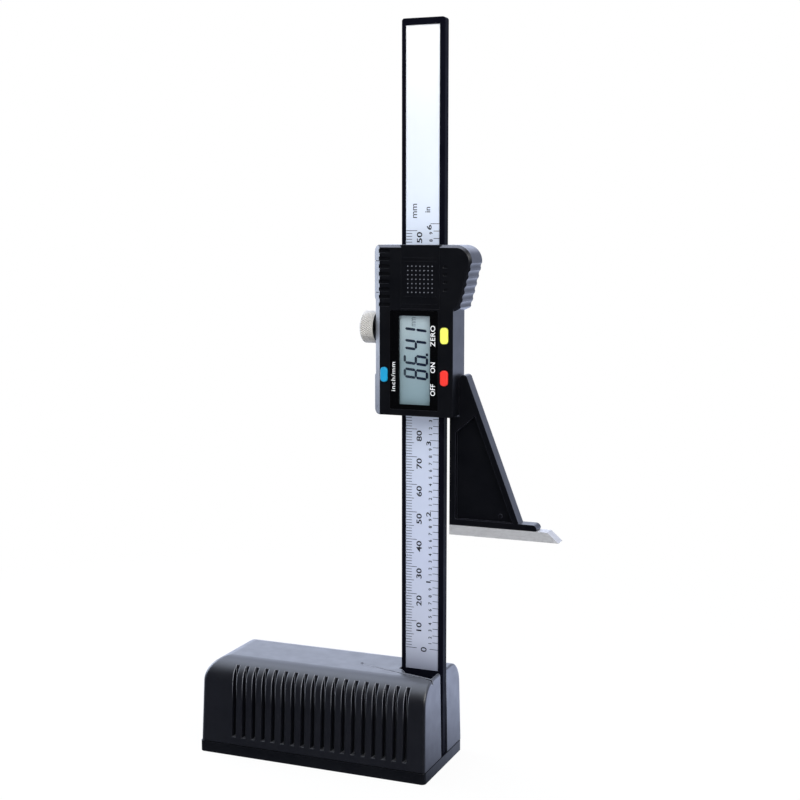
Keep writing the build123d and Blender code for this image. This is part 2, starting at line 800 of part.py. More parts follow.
def slider_rail(side):
    """One of the two rails that run on the column's edges: side -1 is the left one."""
    body = prism_y(head_outline(), parting, slider_back)
    near = column_x + side * (column_width / 2 + side_gap)
    far = column_x - side * 60
    body -= block(min(near, far), max(near, far), parting - 1, slider_back + 1, head_bottom - 1, head_top + 1)
    body -= knob_recess_cut()
    body -= top_corner_cut()
    for cut in wing_cuts(parting, slider_back):
        body -= cut
    body -= rod_x(insert_radius, head_left - 1, knob_side + insert_length, lock_y, lock_z)
    body -= rod_x(pad_radius + thread_gap, head_left - 1, column_left + 1, lock_y, lock_z)
    body -= block(arm_root_x0, head_right + 1, web_y0 - 0.8, slider_back + 1, arm_root_z0, arm_root_z1)
    for x, z in case_screw_spots:
        body -= placed(case_screw.hole(), (x, slider_back, z), (0, 1, 0))
    for x, z in back_screw_spots:
        body -= placed(plate_screw.hole(), (x, head_back, z), (0, 1, 0))
    return body


def back_plate():
    edge = back_plate_inset
    plate = rounded_plate(head_left + knob_recess + edge, head_right - edge, head_bottom + edge,
                          head_top - edge,
                          slider_back, head_back, 1.5)
    outer = [e for e in plate.edges() if abs(e.center().Y - head_back) < 0.01]
    plate = chamfer(outer, 0.25)
    for x, z in back_screw_spots + arm_screw_spots:
        plate -= placed(plate_screw.hole(), (x, head_back, z), (0, 1, 0))
    return plate


def head_screws(spots, screw, y):
    return [placed(screw.solid(), (x, y, z), (0, 1, 0)) for x, z in spots]


# ---- reading head: display and electronics --------------------------------------------------
def display_window():
    return rounded_plate(window_x0, window_x1, window_z0, window_z1, window_front, window_back, window_corner)


def lcd_size(border):
    half_w = lcd_view_width / 2 + border
    half_h = lcd_view_height / 2 + border
    return lcd_x - half_w, lcd_x + half_w, lcd_z - half_h, lcd_z + half_h


def lcd_panel():
    x0, x1, z0, z1 = lcd_size(lcd_border)
    return block(x0, x1, lcd_front, lcd_back, z0, z1)


def lcd_frame():
    x0, x1, z0, z1 = lcd_size(lcd_border + slide_gap)
    wall = lcd_frame_wall
    z_low = max(z0 - wall, bay_z0 + 0.1)
    z_high = min(z1 + wall, bay_z1 - 0.1)
    body = block(x0 - wall, min(x1 + wall, zero_button_at[0] - zero_button_width / 2 - 0.3),
                 lcd_front, board_front,
                 z_low, z_high)
    body -= block(x0, x1, lcd_front - 1, lcd_back, z0, z1)
    lip = 0.6
    body -= block(x0 + lip, x1 - lip, lcd_front - 1, board_front + 1, z0 + lip, z1 - lip)
    # room for the two battery contacts at the top edge
    x = battery_at[0]
    body -= block(x - 1.7, x + 5.0, board_front - 1.2, board_front + 1, z1 - lip - 0.1, z_high + 1)
    return body


def zebra_strip():
    x0, x1, z0, z1 = lcd_size(lcd_border)
    return block(x0 + 1.2, x0 + 1.2 + contact_strip_width, lcd_back, board_front, z0 + 1.6, z1 - 1.6)


def circuit_board():
    body = block(bay_x0 + 0.2, bay_x1 - 0.2, board_front, parting, bay_z0 + 0.15, bay_z1 - 0.15)
    for x, z in case_screw_spots[:2]:
        body -= rod_y(2.1, board_front - 1, parting + 1, x, z)
        away = -6 if x < column_x else 6
        body -= block(min(x, x + away), max(x, x + away), board_front - 1, parting + 1, bay_z0, z + 2.1)
    return body


def controller_chip():
    half = chip_size / 2
    x = lcd_x + 1.2
    z = lcd_z - 4
    return block(x - half, x + half, board_front - chip_thickness, board_front, z - half, z + half)


def button_pad():
    """Soft domes on the board, one behind each button."""
    domes = []
    for at, width, height in BUTTONS:
        x, z = at
        top = bay_front + 0.02 + button_flange_thickness + button_travel
        domes.append(rod_y(dome_radius, top + 0.05, board_front, x, z))
    return domes


def button(at, width, height):
    x, z = at
    face = head_front - button_proud
    flange_y0 = bay_front + 0.02
    flange_y1 = flange_y0 + button_flange_thickness
    cap = button_shape(at, width, height, face, flange_y1)
    rim = [e for e in cap.edges() if abs(e.center().Y - face) < 0.01]
    cap = fillet(rim, button_dome)
    reach = height / 2 + button_flange
    return cap + block(x - width / 2, x + width / 2, flange_y0, flange_y1, z - reach, z + reach)


# ---- reading head: battery ------------------------------------------------------------------
def battery():
    x, z = battery_at
    can = rod_y(battery_radius, battery_front + 0.35, battery_back, x, z)
    can = fillet(can.edges(), 0.3)
    return can + rod_y(battery_radius - 1.1, battery_front, battery_front + 1, x, z)


def contact_strip(gap=0.0):
    """Negative contact: a strip under the battery that steps down onto the board."""
    x, z = battery_at
    half = 1.5 + gap
    top = z + 3.0 + gap
    pad = block(x - half, x + half, battery_back, battery_floor + gap, bay_z1 - 1.0, top)
    foot_y1 = board_front
    foot = block(x - half, x + half, foot_y1 - contact_thickness - gap, foot_y1, bay_z1 - 4.0,
                 bay_z1 + 0.6 + gap)
    bridge = block(x - half, x + half, foot_y1 - contact_thickness - gap, battery_floor + gap,
                   bay_z1 + 0.4 - gap, bay_z1 + 0.6 + gap)
    return pad + foot + bridge if gap else (pad - block(x - 3, x + 3, -9, 9, 0, bay_z1 + 0.4)) + foot + bridge


def side_contact(gap=0.0):
    """Positive contact: a leaf that bears on the battery's rim and runs down onto the board."""
    x, z = battery_at
    low = z - battery_radius - 0.02
    leaf = block(x + 0.0 - gap, x + 4.6 + gap, battery_front + 1.4, battery_back - 0.6,
                 low - 0.2 - gap, low + gap)
    tail_x0 = x + 3.0
    tail = block(tail_x0 - gap, tail_x0 + 1.6 + gap, battery_back - 0.8, board_front,
                 bay_z1 - 3.0, low + gap)
    return leaf + (tail - block(x - 9, x + 9, -9, board_front - contact_thickness - gap, 0, low - 0.2 - gap))


def contact_channels():
    x, z = battery_at
    channel = block(x - 1.7, x + 1.7, -1.6, battery_floor, bay_z1 - 1, z)
    leaf_room = block(x - 0.3, x + 4.9, battery_front, parting - 0.3, bay_z1 - 1, z - battery_radius + 1.6)
    return channel + leaf_room


def battery_cover():
    body = battery_cover_room(0.0)
    body -= top_wedge(head_front)
    x = battery_at[0]
    half = battery_cover_width / 2 - 0.9
    half_ridge = ridge_height / 2
    for place in ridge_places:
        z = head_top - place * battery_cover_length
        body += block(x - half, x + half, head_front - half_ridge, head_front + half_ridge,
                      z - ridge_height, z + ridge_height)
    # a field of small domes for grip
    dome = (dot_radius ** 2 + dot_height ** 2) / (2 * dot_height)
    middle_z = battery_at[1] - 0.1
    for i in range(dot_count):
        for j in range(dot_count):
            dx = (i - (dot_count - 1) / 2) * dot_pitch
            dz = (j - (dot_count - 1) / 2) * dot_pitch
            body += Pos(x + dx, head_front - dot_height + dome, middle_z + dz) * Sphere(dome)
    return body


# ---- lock screw -----------------------------------------------------------------------------
def threaded_insert():
    body = rod_x(insert_radius, knob_side, knob_side + insert_length, lock_y, lock_z)
    return body - rod_x(thread_radius + thread_gap, knob_side - 1, knob_side + insert_length + 1,
                        lock_y, lock_z)


def lock_screw():
    knob = Cylinder(knob_radius, knob_length)
    knob = chamfer(knob.edges(), 0.4)
    for i in range(knob_teeth):
        turn = i * 360 / knob_teeth
        notch = Rot(0, 0, 45) * Box(knob_tooth_depth * 1.41, knob_tooth_depth * 1.41, knob_length + 1)
        knob -= Rot(0, 0, turn) * Pos(knob_radius, 0, 0) * notch
    knob = Pos((knob_x0 + knob_x1) / 2, lock_y, lock_z) * Rot(0, 90, 0) * knob
    collar = rod_x(3.0, knob_x1 - 0.1, knob_x1 + 0.5, lock_y, lock_z)
    stem = rod_x(thread_radius, knob_x1 - 0.2, pad_x0, lock_y, lock_z)
    return knob + collar + stem


def lock_pad():
    return rod_x(pad_radius, pad_x0, pad_x1, lock_y, lock_z)


# ---- measuring arm and blade ----------------------------------------------------------------
def measuring_arm():
    foot_top = arm_foot + arm_rim
    top_x = head_right + arm_top_out
    top_z = reading + arm_top_height
    slope_foot_x = base_end + arm_tip_reach - arm_slope_foot
    end_x = base_end + arm_tip_reach
    face = outline(
        (arm_left, arm_foot),
        (end_x, arm_foot),
        (end_x, foot_top),
        (slope_foot_x, foot_top),
        (top_x, top_z),
        (head_right, top_z - 2.2),
        (head_right, head_bottom - 0.3),
        (arm_left, head_bottom - 0.3),
    )
    face = rounded(face, [((end_x, foot_top), 1.6), ((end_x, arm_foot), 0.5), ((top_x, top_z), 1.4)])
    body = prism_y(face, arm_y0, arm_y1)
    # the web between the rims is sunk from both faces
    run = Vector(top_x - slope_foot_x, top_z - foot_top).normalized()
    shift = arm_flange / abs(run.Y)
    inner_foot = slope_foot_x - shift
    inner_top_z = head_bottom + 0.2
    inner_top_x = inner_foot + run.X / run.Y * (inner_top_z - foot_top)
    hollow = outline((arm_left + arm_rim, foot_top), (inner_foot, foot_top), (inner_top_x, inner_top_z),
                     (arm_left + arm_rim, inner_top_z - 6))
    body -= prism_y(hollow, arm_y0 - 1, web_y0)
    body -= prism_y(hollow, web_y1, arm_y1 + 1)
    body += rod_y(0.75, web_y0 - 0.3, web_y0 + 0.2, base_end + arm_mark_out, foot_top + 2.0)
    # gusset against the head's side
    flare = outline((head_right, arm_y0 - arm_root_thickness), (head_right, arm_y0 + 1),
                    (head_right + 4.6, arm_y0 + 1), (head_right + 4.0, arm_y0))
    side = outline((arm_y1, head_bottom + 11.2), (arm_y0, head_bottom + 11.2),
                   (arm_y0 - 3.2, head_bottom + 7.4), (arm_y0 - arm_root_thickness, head_bottom),
                   (arm_y0 - 0.3, head_bottom - 7), (arm_y1, head_bottom - 7))
    gusset = prism_z(flare, head_bottom - gusset_under, head_bottom + gusset_over)
    gusset &= prism_x(side, head_right, head_right + gusset_out)
    body += gusset
    body += arm_root()
    tongue_mid = (arm_y0 + arm_y1) / 2
    body -= block(arm_left + 1.0, arm_left + 1.0 + tongue_length, tongue_mid - tongue_thickness / 2,
                  tongue_mid + tongue_thickness / 2, arm_foot, arm_foot + tongue_height)
    for x, z in arm_screw_spots:
        body -= placed(plate_screw.hole(), (x, head_back, z), (0, 1, 0))
    return body


def scriber_blade():
    tip = arm_left + blade_length
    face = outline((arm_left, reading), (tip, reading), (tip - blade_bevel, arm_foot), (arm_left, arm_foot))
    body = prism_y(face, arm_y0, arm_y1)
    tongue_mid = (arm_y0 + arm_y1) / 2
    return body + block(arm_left + 1.0, arm_left + 1.0 + tongue_length, tongue_mid - tongue_thickness / 2,
                        tongue_mid + tongue_thickness / 2, arm_foot, arm_foot + tongue_height)


# ---- write every sub-part -------------------------------------------------------------------
def grouped(solids):
    return Compound(children=list(solids))


PIECES = {
    "base_plate": base_plate,
    "base_cover": base_cover,
    "ballast_block": ballast_block,
    "base_cover_screws": lambda: grouped(base_screws(cover_screw_spots, cover_screw)),
    "ballast_screws": lambda: grouped(base_screws(ballast_screw_spots, ballast_screw)),
    "column": column,
    "column_screws": lambda: grouped(column_screws()),
    "encoder_strip": encoder_strip,
    "scale_label": scale_label,
    "front_cover": front_cover,
    "left_rail": lambda: slider_rail(-1),
    "right_rail": lambda: slider_rail(1),
    "back_plate": back_plate,
    "front_cover_screws": lambda: grouped(head_screws(case_screw_spots, case_screw, slider_back)),
    "back_plate_screws": lambda: grouped(head_screws(back_screw_spots, plate_screw, head_back)),
    "arm_screws": lambda: grouped(head_screws(arm_screw_spots, plate_screw, head_back)),
    "display_window": display_window,
    "lcd_panel": lcd_panel,
    "lcd_frame": lcd_frame,
    "zebra_strip": zebra_strip,
    "circuit_board": circuit_board,
    "controller_chip": controller_chip,
    "button_pad": lambda: grouped(button_pad()),
    "zero_button": lambda: button(*BUTTONS[0]),
    "on_off_button": lambda: button(*BUTTONS[1]),
    "unit_button": lambda: button(*BUTTONS[2]),
    "battery": battery,
    "battery_contact_negative": contact_strip,
    "battery_contact_positive": side_contact,
    "battery_cover": battery_cover,
    "threaded_insert": threaded_insert,
    "lock_screw": lock_screw,
    "lock_pad": lock_pad,
    "measuring_arm": measuring_arm,
    "scriber_blade": scriber_blade,
}

for node, make in PIECES.items():
    export_step(make(), f"parts/{node}.step")
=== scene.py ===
import math

import bmesh
import bpy
from mathutils import Matrix, Vector


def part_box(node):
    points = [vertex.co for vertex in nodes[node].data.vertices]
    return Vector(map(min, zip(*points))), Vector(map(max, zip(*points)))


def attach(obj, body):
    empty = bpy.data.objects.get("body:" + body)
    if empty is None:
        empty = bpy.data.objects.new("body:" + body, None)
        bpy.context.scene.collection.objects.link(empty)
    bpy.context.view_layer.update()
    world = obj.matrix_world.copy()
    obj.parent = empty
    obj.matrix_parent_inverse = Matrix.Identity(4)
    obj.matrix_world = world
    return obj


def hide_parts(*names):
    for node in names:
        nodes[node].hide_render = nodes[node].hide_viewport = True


# A digital height gauge: black moulded base and head, a black composite column with a silver
# scale film, a measuring arm and a ground steel blade. Everything is in metres, in the part's frame.

MM = 0.001
INCH = 25.4 * MM
ZERO_ABOVE_FOOT = 7.74 * MM  # the scale's zero mark above the film's foot

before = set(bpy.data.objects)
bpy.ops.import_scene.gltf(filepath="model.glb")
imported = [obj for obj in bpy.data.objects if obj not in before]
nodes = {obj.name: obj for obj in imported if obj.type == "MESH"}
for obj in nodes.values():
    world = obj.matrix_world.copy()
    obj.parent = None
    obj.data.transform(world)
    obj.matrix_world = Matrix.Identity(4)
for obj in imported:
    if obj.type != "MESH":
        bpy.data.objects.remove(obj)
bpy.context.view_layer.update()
scene = bpy.context.scene

# ---- places read from the frame -------------------------------------------------------------
label_low, label_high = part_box("scale_label")
window_low, window_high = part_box("display_window")
lcd_low, lcd_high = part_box("lcd_panel")
knob_low, knob_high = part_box("lock_screw")
scale_zero = label_low.z + ZERO_ABOVE_FOOT
label_front = label_low.y
knob_axis = Vector((0, (knob_low.y + knob_high.y) / 2, (knob_low.z + knob_high.z) / 2))

# ---- sizes ----------------------------------------------------------------------------------
INK = 0.015 * MM             # printed marks stand this far in front of their face
SCALE_MM = 150
SCALE_TENTHS = 60
TICK = 0.20 * MM
INCH_TICK = 0.19 * MM

LCD_VIEW = (11.5 * MM, 31.0 * MM)
LCD_SHIFT = 0.35 * MM        # the opening stands left of the panel's middle
DIGIT_HEIGHT = 9.2 * MM
DIGIT_WIDTH = 3.6 * MM
DIGIT_MARGIN = 1.2 * MM      # from the digits' feet to the opening's right edge
SEGMENT = 0.92 * MM          # width of a segment's bar
SEGMENT_GAP = 0.07 * MM
SLANT = 0.10                 # how far a digit leans for each millimetre of its height

BORDER_DEPTH = 0.3 * MM
BORDER_CORNER = 0.5 * MM
OPENING_CORNER = 0.3 * MM
LEGEND_LEFT = 1.95 * MM      # feet of the words from the window's left and right edges
LEGEND_RIGHT = 0.95 * MM

KNOB_LENGTH = 5.0 * MM
KNOB_EDGE = 0.35 * MM
KNOB_STEPS = 26
KNURLS = 44
KNURL_DEPTH = 0.30 * MM
KNURL_RUN = 1.05 * KNOB_LENGTH
KNURL_TURN = 4.2             # teeth that the knurl turns past over its run
STEM_RADIUS = 1.45 * MM
STEM_GAP = 0.03 * MM         # the stem ends this far short of the CAD screw, clear of the lock pad


# ---- shader nodes ---------------------------------------------------------------------------
def feed(tree, socket, value):
    """Give a socket a link or a plain value."""
    if isinstance(value, bpy.types.NodeSocket):
        tree.links.new(value, socket)
    else:
        socket.default_value = value


def mapped(tree, value, start, end, low=0.0, high=1.0, smooth=False):
    """Lay a value's range from start to end onto low to high, held beyond both ends."""
    node = tree.nodes.new("ShaderNodeMapRange")
    node.interpolation_type = "SMOOTHSTEP" if smooth else "LINEAR"
    for socket, number in (("From Min", start), ("From Max", end), ("To Min", low), ("To Max", high)):
        node.inputs[socket].default_value = number
    tree.links.new(value, node.inputs["Value"])
    return node.outputs["Result"]


def combined(tree, operation, a, b):
    """Two values joined by an operation of the maths node."""
    node = tree.nodes.new("ShaderNodeMath")
    node.operation = operation
    tree.links.new(a, node.inputs[0])
    tree.links.new(b, node.inputs[1])
    return node.outputs[0]


def mixed(tree, kind, factor, first, second):
    """first where the factor is 0 and second where it is 1. The kind is FLOAT or RGBA."""
    node = tree.nodes.new("ShaderNodeMix")
    node.data_type = kind
    a, b, result = {"FLOAT": (2, 3, 0), "RGBA": (6, 7, 2)}[kind]
    feed(tree, node.inputs[0], factor)
    feed(tree, node.inputs[a], first)
    feed(tree, node.inputs[b], second)
    return node.outputs[result]


def object_place(tree):
    return tree.nodes.new("ShaderNodeTexCoord").outputs["Object"]


def along(tree, vector, axis):
    split = tree.nodes.new("ShaderNodeSeparateXYZ")
    tree.links.new(vector, split.inputs[0])
    return split.outputs[axis]


# ---- material building ----------------------------------------------------------------------
class Finish:
    """A Principled material with helpers for procedural detail in object space."""

    def __init__(self, name, color, roughness, metallic=0.0, specular=0.5, ior=1.5):
        self.material = bpy.data.materials.new(name)
        self.material.use_nodes = True
        self.tree = self.material.node_tree
        self.shader = self.tree.nodes["Principled BSDF"]
        self.set("Base Color", (*color, 1))
        self.set("Roughness", roughness)
        self.set("Metallic", metallic)
        self.set("Specular IOR Level", specular)
        self.set("IOR", ior)
        self.place = object_place(self.tree)
        self.normal = None

    def set(self, socket, value):
        self.shader.inputs[socket].default_value = value

    def link(self, a, b):
        self.tree.links.new(a, b)

    def stretched(self, stretch):
        """Object coordinates scaled along each axis."""
        mapping = self.tree.nodes.new("ShaderNodeMapping")
        mapping.inputs["Scale"].default_value = stretch
        self.link(self.place, mapping.inputs["Vector"])
        return mapping.outputs["Vector"]

    def noise(self, size, detail=2.0, stretch=(1, 1, 1)):
        """Noise with features of about the given size in metres."""
        texture = self.tree.nodes.new("ShaderNodeTexNoise")
        texture.inputs["Scale"].default_value = 1 / size
        texture.inputs["Detail"].default_value = detail
        self.link(self.stretched(stretch), texture.inputs["Vector"])
        return texture.outputs["Fac"]

    def between(self, factor, low, high):
        """Map the middle of a 0 to 1 factor onto a range of numbers."""
        return mapped(self.tree, factor, 0.3, 0.7, low, high)

    def tint(self, factor, low, high):
        """Colour between two colours by a factor."""
        ramp = self.tree.nodes.new("ShaderNodeValToRGB")
        ramp.color_ramp.elements[0].position = 0.3
        ramp.color_ramp.elements[0].color = (*low, 1)
        ramp.color_ramp.elements[1].position = 0.7
        ramp.color_ramp.elements[1].color = (*high, 1)
        self.link(factor, ramp.inputs["Fac"])
        self.link(ramp.outputs["Color"], self.shader.inputs["Base Color"])

    def vary_roughness(self, factor, low, high):
        self.link(self.between(factor, low, high), self.shader.inputs["Roughness"])

    def soft_edges(self, radius):
        """Rounded look on sharp moulded edges."""
        bevel = self.tree.nodes.new("ShaderNodeBevel")
        bevel.samples = 6
        bevel.inputs["Radius"].default_value = radius
        self.normal = bevel.outputs["Normal"]
        self.link(self.normal, self.shader.inputs["Normal"])

    def bump(self, factor, height, strength=1.0):
        node = self.tree.nodes.new("ShaderNodeBump")
        node.inputs["Strength"].default_value = strength
        node.inputs["Distance"].default_value = height
        self.link(factor, node.inputs["Height"])
        if self.normal:
            self.link(self.normal, node.inputs["Normal"])
        self.normal = node.outputs["Normal"]
        self.link(self.normal, self.shader.inputs["Normal"])


def moulded(name, color, roughness, ior=1.45, grain=0.3 * MM, depth=0.006 * MM, edges=0.18 * MM):
    """Moulded plastic: fine spark-eroded grain, faint cloudiness and softened edges."""
    finish = Finish(name, color, roughness, ior=ior)
    lighter = tuple(min(1.0, c * 1.25 + 0.001) for c in color)
    finish.tint(finish.noise(9 * MM, 3), color, lighter)
    finish.vary_roughness(finish.noise(5 * MM, 4), roughness * 0.9, roughness * 1.1)
    finish.soft_edges(edges)
    finish.bump(finish.noise(grain, 2), depth, 0.55)
    return finish.material


def overlay(material, factor, color):
    """Lay a paler colour over a material by a factor."""
    tree = material.node_tree
    paint = tree.nodes["Principled BSDF"].inputs["Base Color"]
    tree.links.new(mixed(tree, "RGBA", factor, paint.links[0].from_socket, (*color, 1)), paint)


def worn_tips(material, axis, start, end, color):
    """Painted glint: paler tips on raised details, the colour fading in between two places along an axis."""
    tree = material.node_tree
    height = along(tree, object_place(tree), axis)
    overlay(material, mapped(tree, height, start, end, smooth=True), color)


def dusted(material, low, high, color, floor=0.0):
    """Painted highlight: a paler tone on upward faces above a height, by how far the surface faces up."""
    tree = material.node_tree
    facing = along(tree, tree.nodes.new("ShaderNodeNewGeometry").outputs["Normal"], "Z")
    height = along(tree, object_place(tree), "Z")
    overlay(material, combined(tree, "MULTIPLY", mapped(tree, facing, low, high, smooth=True),
                               mapped(tree, height, floor, floor + 0.2 * MM, smooth=True)), color)


def rubbed_edges(material, width, low, high, color):
    """Painted highlight: a paler line along the edges, fading in with height."""
    tree = material.node_tree
    bevel = tree.nodes.new("ShaderNodeBevel")
    bevel.samples = 8
    bevel.inputs["Radius"].default_value = width
    turn = tree.nodes.new("ShaderNodeVectorMath")
    turn.operation = "DOT_PRODUCT"
    tree.links.new(bevel.outputs["Normal"], turn.inputs[0])
    tree.links.new(tree.nodes.new("ShaderNodeNewGeometry").outputs["Normal"], turn.inputs[1])
    height = along(tree, object_place(tree), "Z")
    overlay(material, combined(tree, "MULTIPLY", mapped(tree, turn.outputs["Value"], 0.99, 0.86, smooth=True),
                               mapped(tree, height, low, high, smooth=True)), color)


def metal(name, color, roughness, stretch=(1, 1, 1), size=0.2 * MM, depth=0.004 * MM, shine=1.0):
    """Worked metal: fine marks along the direction in which it was ground."""
    finish = Finish(name, color, roughness, metallic=shine)
    marks = finish.noise(size, 3, stretch)
    finish.vary_roughness(marks, roughness * 0.8, roughness * 1.25)
    darker = tuple(c * 0.86 for c in color)
    finish.tint(marks, darker, color)
    finish.soft_edges(0.1 * MM)
    finish.bump(marks, depth, 0.5)
    return finish.material


def by_place(finish, axis, stops, low, high):
    """Colour that shades along one axis of the object, through a list of (place, colour)."""
    spread = mapped(finish.tree, along(finish.tree, finish.place, axis), low, high)
    ramp = finish.tree.nodes.new("ShaderNodeValToRGB")
    elements = ramp.color_ramp.elements
    while len(elements) < len(stops):
        elements.new(0.5)
    for element, (place, color) in zip(elements, stops):
        element.position = (place - low) / (high - low)
        element.color = (*color, 1)
    finish.link(spread, ramp.inputs["Fac"])
    finish.link(ramp.outputs["Color"], finish.shader.inputs["Base Color"])


def scale_film():
    """Silver film, satin, with painted light and shade: darker near the foot, brighter towards the top of the
    column.
    """
    finish = Finish("scale_film", (0.5, 0.55, 0.7), 0.36, specular=0.4)
    # Painted light and shade along the column's height.
    by_place(finish, "Z", [
        (0.036, (0.26, 0.28, 0.36)),
        (0.046, (0.43, 0.46, 0.56)),
        (0.075, (0.45, 0.49, 0.62)),
        (0.118, (0.495, 0.545, 0.67)),
        (0.190, (0.66, 0.73, 0.85)),
        (0.228, (0.73, 0.77, 0.84)),
        (0.262, (0.86, 0.87, 0.88)),
    ], 0.0, 0.30)
    finish.vary_roughness(finish.noise(0.4 * MM, 2, (1, 1, 0.1)), 0.32, 0.44)
    return finish.material


def lcd_face():
    """Grey-green reflective display with a painted reflection: paler above, a shade deeper below."""
    finish = Finish("lcd_face", (0.33, 0.41, 0.44), 0.25, specular=0.3)
    # Painted reflection: darker towards the bottom of the display.
    by_place(finish, "Z", [
        (0.132, (0.225, 0.325, 0.365)),
        (0.148, (0.29, 0.39, 0.43)),
        (0.166, (0.48, 0.575, 0.615)),
    ], 0.12, 0.18)
    finish.bump(finish.noise(0.12 * MM, 1), 0.002 * MM, 0.3)
    return finish.material


def lcd_segment():
    """Liquid-crystal ink: deep navy at the digits' feet, weaker towards their tops."""
    finish = Finish("lcd_ink", (0.01, 0.02, 0.04), 0.35, specular=0.2)
    by_place(finish, "X", [
        (0.0300, (0.060, 0.085, 0.105)),
        (0.0335, (0.012, 0.020, 0.038)),
        (0.0400, (0.002, 0.006, 0.028)),
    ], 0.02, 0.05)
    return finish.material


def clear_window():
    """Clear hard-coated window, so thin that it is drawn as a faint gloss layer."""
    finish = Finish("clear_window", (0.02, 0.02, 0.02), 0.05)
    finish.vary_roughness(finish.noise(12 * MM, 2), 0.04, 0.07)
    finish.set("Alpha", 0.05)
    return finish.material


def printed(name, color, roughness=0.5):
    finish = Finish(name, color, roughness, specular=0.3)
    finish.vary_roughness(finish.noise(0.5 * MM, 2), roughness * 0.85, roughness * 1.15)
    return finish.material


BLACK = (0.0016, 0.0019, 0.0034)
HEAD_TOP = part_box("front_cover")[1].z
HEAD_HIGHLIGHT_REACH = 3.0 * MM         # the painted highlight on upward faces of the head reaches only this near its top
black_shell = moulded("black_shell", BLACK, 0.34)
# Painted highlight: upward faces near the head's top are drawn paler, where light from above falls.
dusted(black_shell, 0.45, 0.75, (0.12, 0.125, 0.15), HEAD_TOP - HEAD_HIGHLIGHT_REACH)
black_base = moulded("black_base", (0.0030, 0.0036, 0.0070), 0.38, ior=1.7, grain=0.4 * MM,
                     depth=0.010 * MM, edges=0.5 * MM)
# Painted highlight: the base's upward faces are drawn paler.
dusted(black_base, 0.35, 1.0, (0.050, 0.053, 0.060))
# Painted highlight: pale lines along the base's edges near its top.
rubbed_edges(black_base, 0.30 * MM, 0.020, 0.031, (0.42, 0.44, 0.50))
battery_lid = moulded("battery_lid", BLACK, 0.34, edges=0.05 * MM)
# Painted glint: the raised dots and ridges of the battery lid are drawn paler.
worn_tips(battery_lid, "Y", window_low.y - 0.17 * MM, window_low.y - 0.24 * MM, (0.20, 0.21, 0.24))
black_arm = moulded("black_arm", (0.0010, 0.0012, 0.0028), 0.36, ior=1.40)
# Painted highlight: pale lines along the arm's edges.
rubbed_edges(black_arm, 0.16 * MM, -0.02, -0.01, (0.040, 0.042, 0.060))
composite = moulded("black_composite", (0.0026, 0.0028, 0.0062), 0.5, ior=1.07, grain=0.5 * MM,
                    depth=0.004 * MM)
plate_paint = moulded("plate_paint", (0.0024, 0.0028, 0.0046), 0.36, ior=1.35)
window_black = printed("window_black", (0.0012, 0.0012, 0.0014), 0.12)
steel_blade = metal("ground_steel", (0.60, 0.60, 0.61), 0.5, stretch=(0.3, 1, 1), size=0.35 * MM,
                    depth=0.010 * MM, shine=0.45)
steel_screw = metal("zinc_steel", (0.55, 0.55, 0.57), 0.30)
knob_steel = metal("knurled_steel", (0.72, 0.695, 0.65), 0.45, size=0.5 * MM, shine=0.45)
# Near-black metal as painted shade on the knob's inner end, which faces the head.
knob_end_shade = metal("knob_end_painted_shade", (0.02, 0.02, 0.022), 0.5)
battery_steel = metal("battery_steel", (0.75, 0.75, 0.76), 0.18)
brass = metal("spring_brass", (0.78, 0.60, 0.30), 0.28)
iron = moulded("cast_iron", (0.10, 0.10, 0.105), 0.62, grain=0.8 * MM, depth=0.05 * MM)
board = moulded("solder_mask", (0.015, 0.14, 0.06), 0.35)
chip = moulded("chip_epoxy", (0.012, 0.012, 0.013), 0.5)
pale_plastic = moulded("pale_plastic", (0.70, 0.70, 0.67), 0.5)
silicone = moulded("silicone", (0.42, 0.42, 0.41), 0.6)
dark_rubber = moulded("dark_rubber", (0.03, 0.03, 0.03), 0.7)
yellow = moulded("yellow_button", (0.76, 0.78, 0.105), 0.36, edges=0.25 * MM)
red = moulded("red_button", (0.70, 0.026, 0.017), 0.36, edges=0.25 * MM)
blue = moulded("blue_button", (0.003, 0.255, 0.47), 0.36, edges=0.25 * MM)
film = scale_film()
ink = printed("black_ink", (0.006, 0.006, 0.010), 0.5)
white_ink = printed("white_ink", (0.86, 0.87, 0.88), 0.5)
lcd = lcd_face()
lcd_ink = lcd_segment()
lcd_faint = printed("lcd_faint_ink", (0.11, 0.14, 0.16), 0.4)
glass = clear_window()

DRESS = {
    black_base: ["base_cover"],
    plate_paint: ["base_plate"],
    iron: ["ballast_block"],
    steel_screw: ["base_cover_screws", "ballast_screws", "column_screws", "front_cover_screws",
                  "back_plate_screws", "arm_screws"],
    composite: ["column", "back_plate"],
    film: ["scale_label"],
    board: ["encoder_strip", "circuit_board"],
    black_shell: ["front_cover", "left_rail", "right_rail"],
    battery_lid: ["battery_cover"],
    black_arm: ["measuring_arm"],
    steel_blade: ["scriber_blade"],
    glass: ["display_window"],
    lcd: ["lcd_panel"],
    pale_plastic: ["lcd_frame", "lock_pad"],
    dark_rubber: ["zebra_strip"],
    chip: ["controller_chip"],
    silicone: ["button_pad"],
    yellow: ["zero_button"],
    red: ["on_off_button"],
    blue: ["unit_button"],
    battery_steel: ["battery"],
    brass: ["battery_contact_negative", "battery_contact_positive", "threaded_insert"],
    knob_steel: ["lock_screw"],
}
for material, names in DRESS.items():
    for node in names:
        nodes[node].data.materials.clear()
        nodes[node].data.materials.append(material)


# ---- mesh building --------------------------------------------------------------------------
def new_object(name, build, material, body):
    """A piece that rides on a body. The function build(bmesh) fills its mesh."""
    work = bmesh.new()
    build(work)
    bmesh.ops.recalc_face_normals(work, faces=work.faces)
    mesh = bpy.data.meshes.new(name)
    work.to_mesh(mesh)
    work.free()
    thing = bpy.data.objects.new(name, mesh)
    scene.collection.objects.link(thing)
    thing.data.materials.append(material)
    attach(thing, body)
    return thing


